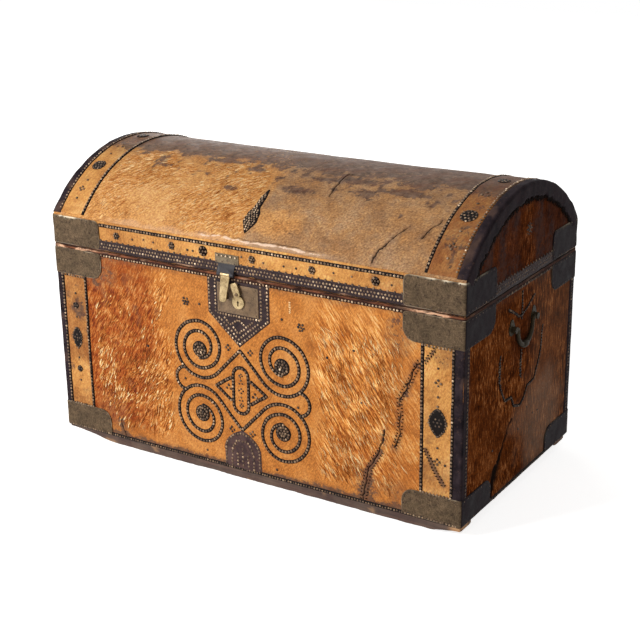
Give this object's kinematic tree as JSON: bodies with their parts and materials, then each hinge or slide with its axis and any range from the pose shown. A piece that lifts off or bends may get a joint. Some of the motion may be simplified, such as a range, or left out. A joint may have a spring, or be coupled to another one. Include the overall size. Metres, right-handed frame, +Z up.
{
  "type": "hide-covered chest",
  "caption": "Wooden trunk covered in hair-on hide, with a domed hinged lid, studded leather trim, metal corner plates, hasp lock and drop handles.",
  "frame": {"origin": "on the floor, at the middle of the chest's footprint", "axes": "+X along the chest's length to its right end, -Y out of the front, +Z up"},
  "size_m": [0.9234, 0.5032, 0.5845],
  "materials": {
    "board_wood": "old softwood board, dry and dusty",
    "runner_wood": "dark worn wood",
    "front_hide": "hair-on hide, golden tan",
    "end_hide": "hair-on hide, dark red-brown",
    "tan_strip": "yellow tan hide strip",
    "dark_leather": "dark leather, worn",
    "rim_leather": "worn pale leather",
    "plate_brass": "brass with dull olive patina",
    "lock_brass": "brass with brown patina",
    "hasp_brass": "rubbed brass",
    "lock_iron": "dark forged iron",
    "handle_brass": "dark brass",
    "nail_brass": "small round nail heads"
  },
  "bodies": {
    "chest_body": {"bottom_board": "board_wood", "front_board": "board_wood", "back_board": "board_wood", "left_end_board": "board_wood", "right_end_board": "board_wood", "front_runner": "runner_wood", "rear_runner": "runner_wood", "front_hide": "front_hide", "back_hide": "front_hide", "left_end_hide": "end_hide", "right_end_hide": "end_hide", "corner_bindings": "dark_leather", "rim_binding": "rim_leather", "front_strips": "tan_strip", "shield_patch": "dark_leather", "foot_patch": "dark_leather", "scroll_strips": "dark_leather", "upper_plate_front_left": "plate_brass", "upper_plate_front_right": "plate_brass", "upper_plate_rear_left": "plate_brass", "upper_plate_rear_right": "plate_brass", "lower_plate_front_left": "plate_brass", "lower_plate_front_right": "plate_brass", "lower_plate_rear_left": "plate_brass", "lower_plate_rear_right": "plate_brass", "lock_plate": "lock_brass", "lock_case": "lock_iron", "keyhole_disc": "lock_brass", "cover_rivet": "lock_brass", "handle_roses": "handle_brass", "hinge_lower_leaves": "lock_iron", "body_nails": "nail_brass"},
    "lid": {"lid_front_rail": "board_wood", "lid_back_rail": "board_wood", "lid_left_arch": "board_wood", "lid_right_arch": "board_wood", "lid_staves": "board_wood", "dome_hide": "front_hide", "lid_front_hide": "front_hide", "lid_back_hide": "front_hide", "lid_left_hide": "end_hide", "lid_right_hide": "end_hide", "lid_edge_bands": "dark_leather", "arch_bindings": "dark_leather", "dome_strips": "tan_strip", "lid_plate_front_left": "plate_brass", "lid_plate_front_right": "plate_brass", "lid_plate_rear_left": "plate_brass", "lid_plate_rear_right": "plate_brass", "hasp_plate": "lock_brass", "hasp_pin": "hasp_brass", "hinge_upper_leaves": "lock_iron", "hinge_pins": "lock_iron", "lid_nails": "nail_brass"},
    "hasp": {"hasp": "hasp_brass"},
    "keyhole_cover": {"keyhole_cover": "lock_brass"},
    "lock_bolt": {"lock_bolt": "lock_iron"},
    "right_handle": {"right_bail": "handle_brass"},
    "left_handle": {"left_bail": "handle_brass"}
  },
  "joints": [
    {"name": "lid_hinge", "type": "hinge", "parent": "chest_body", "child": "lid", "pos_m": [0, 0.2419, 0.411], "axis": [-1, 0, 0], "range_deg": [0, 100]},
    {"name": "hasp_hinge", "type": "hinge", "parent": "lid", "child": "hasp", "pos_m": [-0.031, -0.244, 0.411], "axis": [-1, 0, 0], "range_deg": [-17, 110]},
    {"name": "keyhole_cover_pivot", "type": "hinge", "parent": "chest_body", "child": "keyhole_cover", "pos_m": [-0.0065, -0.2432, 0.377], "axis": [0, 1, 0], "range_deg": [0, 200]},
    {"name": "bolt_slide", "type": "slide", "parent": "chest_body", "child": "lock_bolt", "axis": [-1, 0, 0], "range_m": [0, 0.006]},
    {"name": "right_handle_hinge", "type": "hinge", "parent": "chest_body", "child": "right_handle", "pos_m": [0.4565, -0.003, 0.331], "axis": [0, -1, 0], "range_deg": [0, 165]},
    {"name": "left_handle_hinge", "type": "hinge", "parent": "chest_body", "child": "left_handle", "pos_m": [-0.4565, -0.003, 0.331], "axis": [0, 1, 0], "range_deg": [0, 165]}
  ]
}
